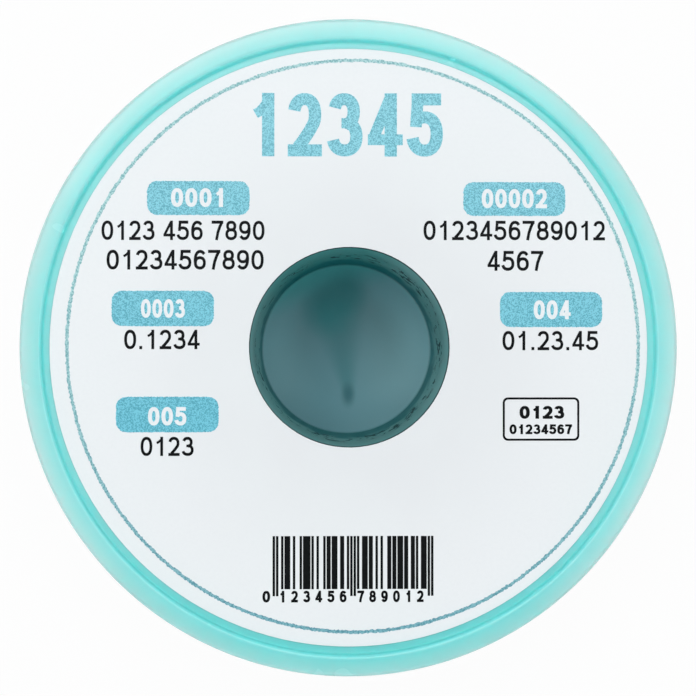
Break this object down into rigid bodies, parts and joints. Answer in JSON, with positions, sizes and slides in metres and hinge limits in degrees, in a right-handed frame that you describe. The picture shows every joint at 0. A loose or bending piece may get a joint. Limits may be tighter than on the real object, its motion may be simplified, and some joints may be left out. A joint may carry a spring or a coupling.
{
  "type": "solder wire spool",
  "caption": "Small moulded reel with raised rims, a paper label in one recess and flux-cored solder wire wound between its flanges round a plain through bore.",
  "frame": {"origin": "middle of the plane of the lower rim's face, on the reel's axis", "axes": "+Z along the reel's axis, from the plain side up to the label side; +X to the right and +Y up as the label is read"},
  "size_m": [0.0654, 0.0654, 0.024],
  "materials": {
    "reel_plastic": "moulded turquoise styrene with a soft satin gloss",
    "label_paper": "smooth coated white label paper",
    "solder": "drawn tin wire, bright with a slight haze",
    "flux": "amber resin"
  },
  "bodies": {
    "root": {"plain_side_half": "reel_plastic", "label_side_half": "reel_plastic", "front_label": "label_paper", "solder_winding": "solder", "start_tail": "solder", "start_tail_flux": "flux", "free_end": "solder", "free_end_flux": "flux"}
  },
  "joints": []
}
